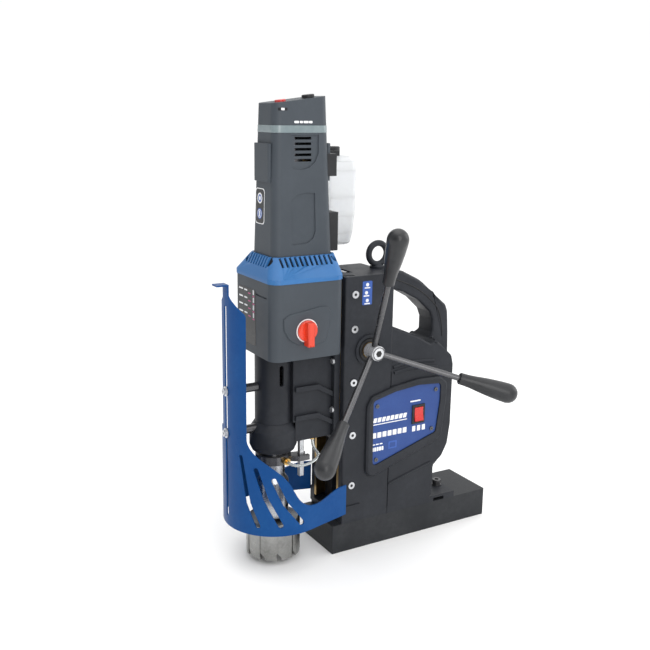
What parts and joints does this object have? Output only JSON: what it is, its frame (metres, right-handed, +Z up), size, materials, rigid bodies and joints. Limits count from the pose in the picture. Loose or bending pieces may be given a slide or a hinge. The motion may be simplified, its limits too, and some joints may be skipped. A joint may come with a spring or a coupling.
{
  "type": "magnetic drill press",
  "caption": "Magnetic-base drill press: geared motor carriage on a dovetail column, hole cutter, wrap-round guard, lever feed hub, switch panel and carrying handle.",
  "frame": {"origin": "middle of the underside of the electromagnet, on the work surface", "axes": "+Z up along the column, -Y towards the cutter and guard, +Y towards the carrying handle, +X towards the feed levers and switch panel"},
  "size_m": [0.2559, 0.422, 0.6212],
  "materials": {
    "magnet_black": "satin black paint on ground steel",
    "copper_winding": "enamelled copper wire",
    "black_resin": "cast potting resin",
    "cast_black": "fine-textured black powder coat on casting",
    "gib_bronze": "machined bronze",
    "zinc_steel": "bright zinc plate",
    "machined_steel": "turned and ground steel",
    "dark_steel": "black oxide",
    "hub_chrome": "worn satin chrome",
    "grip_black": "satin moulded grip",
    "panel_blue": "printed satin panel",
    "plastic_black": "moulded",
    "switch_red": "glossy moulded",
    "selector_red": "glossy moulded",
    "board_green": "lacquered circuit board",
    "housing_charcoal": "fine-textured glass-filled nylon",
    "aluminium_cast": "die cast",
    "cap_blue": "satin moulded",
    "lamination_steel": "stacked laminations",
    "brass_fitting": "turned brass",
    "band_clear": "smoked clear ring",
    "cutter_steel": "ground tool steel",
    "hose_clear": "clear tube",
    "bottle_white": "translucent blown bottle",
    "guard_blue": "gloss blue powder coat",
    "label_white": "printed white marks",
    "label_black": "printed black label film",
    "label_blue": "printed blue label film",
    "label_magenta": "printed magenta marks"
  },
  "bodies": {
    "stand": {"magnet_core": "magnet_black", "magnet_coil": "copper_winding", "coil_resin": "black_resin", "column": "cast_black", "gib_strips": "gib_bronze", "gib_screws": "zinc_steel", "hub_bushes": "gib_bronze", "rear_housing": "cast_black", "side_cover_right": "cast_black", "side_cover_left": "cast_black", "control_panel": "panel_blue", "panel_screws": "dark_steel", "switch_frame": "plastic_black", "circuit_board": "board_green", "cable_glands": "plastic_black", "foot_screws": "dark_steel", "eye_bolt": "cast_black"},
    "feed_levers": {"pinion_shaft": "machined_steel", "shaft_circlip": "dark_steel", "lever_hub": "hub_chrome", "lever_rods": "dark_steel", "lever_grips": "grip_black"},
    "rocker": {"rocker_switch": "switch_red"},
    "carriage": {"slide": "cast_black", "rack": "machined_steel", "slide_screws": "zinc_steel", "carriage_bracket": "cast_black", "gearbox_housing": "housing_charcoal", "bearing_plate": "aluminium_cast", "vent_cap": "cap_blue", "cap_screws": "dark_steel", "motor_casing": "housing_charcoal", "brush_covers": "housing_charcoal", "brush_holders": "brass_fitting", "stator": "lamination_steel", "light_band": "band_clear", "top_lid": "housing_charcoal", "ball_bearings": "machined_steel", "spindle_housing": "cast_black", "spindle_nose": "cast_black", "stop_rod": "zinc_steel", "coolant_ring": "dark_steel", "hose_fittings": "brass_fitting", "coolant_hose": "hose_clear", "coolant_bottle": "bottle_white", "bottle_cap": "plastic_black", "bottle_clips": "plastic_black", "guard_posts": "dark_steel", "guard_screws": "zinc_steel"},
    "spindle_group": {"spindle": "machined_steel", "arbor": "machined_steel", "arbor_screws": "dark_steel", "hole_cutter": "cutter_steel"},
    "pilot": {"pilot_pin": "machined_steel"},
    "layshaft_group": {"layshaft": "machined_steel"},
    "armature_group": {"armature": "lamination_steel"},
    "guard_sheet": {"guard": "guard_blue"},
    "selector_knob": {"gear_selector": "selector_red"},
    "start_button": {"power_button": "switch_red"},
    "dial": {"speed_dial": "plastic_black"}
  },
  "joints": [
    {"name": "carriage_feed", "type": "slide", "parent": "stand", "child": "carriage", "axis": [0, 0, 1], "range_m": [-0.05, 0.11]},
    {"name": "feed_turn", "type": "hinge", "parent": "stand", "child": "feed_levers", "pos_m": [0, -0.0835, 0.2896], "axis": [1, 0, 0], "range_deg": [-530, 242]},
    {"name": "spindle_spin", "type": "hinge", "parent": "carriage", "child": "spindle_group", "pos_m": [0, -0.205, 0.2], "axis": [0, 0, 1], "continuous": true},
    {"name": "layshaft_spin", "type": "hinge", "parent": "carriage", "child": "layshaft_group", "pos_m": [-0.024, -0.17619, 0.35], "axis": [0, 0, 1], "continuous": true},
    {"name": "armature_spin", "type": "hinge", "parent": "carriage", "child": "armature_group", "pos_m": [0, -0.17619, 0.45], "axis": [0, 0, 1], "continuous": true},
    {"name": "pilot_retract", "type": "slide", "parent": "spindle_group", "child": "pilot", "axis": [0, 0, 1], "range_m": [0, 0.03], "stiffness_N_per_m": 300, "springref_m": -0.01},
    {"name": "guard_height", "type": "slide", "parent": "carriage", "child": "guard_sheet", "axis": [0, 0, 1], "range_m": [-0.01, 0.105]},
    {"name": "gear_select", "type": "hinge", "parent": "carriage", "child": "selector_knob", "pos_m": [0.06, -0.187, 0.331], "axis": [1, 0, 0], "range_deg": [0, 180]},
    {"name": "rocker_tilt", "type": "hinge", "parent": "stand", "child": "rocker", "pos_m": [0.0475, 0.0007, 0.186], "axis": [0, 1, 0], "range_deg": [0, 12]},
    {"name": "start_press", "type": "slide", "parent": "carriage", "child": "start_button", "axis": [0, 0.1305, -0.9915], "range_m": [0, 0.002], "stiffness_N_per_m": 900, "springref_m": -0.001},
    {"name": "dial_turn", "type": "hinge", "parent": "carriage", "child": "dial", "pos_m": [0.012, -0.1625, 0.61611], "axis": [0, -0.1305, 0.9915], "range_deg": [0, 270]}
  ],
  "couplings": [
    {"joint": "feed_turn", "follows": "carriage_feed", "rad_per_m": -83.333},
    {"joint": "layshaft_spin", "follows": "spindle_spin", "ratio": -1.7778},
    {"joint": "armature_spin", "follows": "spindle_spin", "ratio": 4.3175}
  ]
}
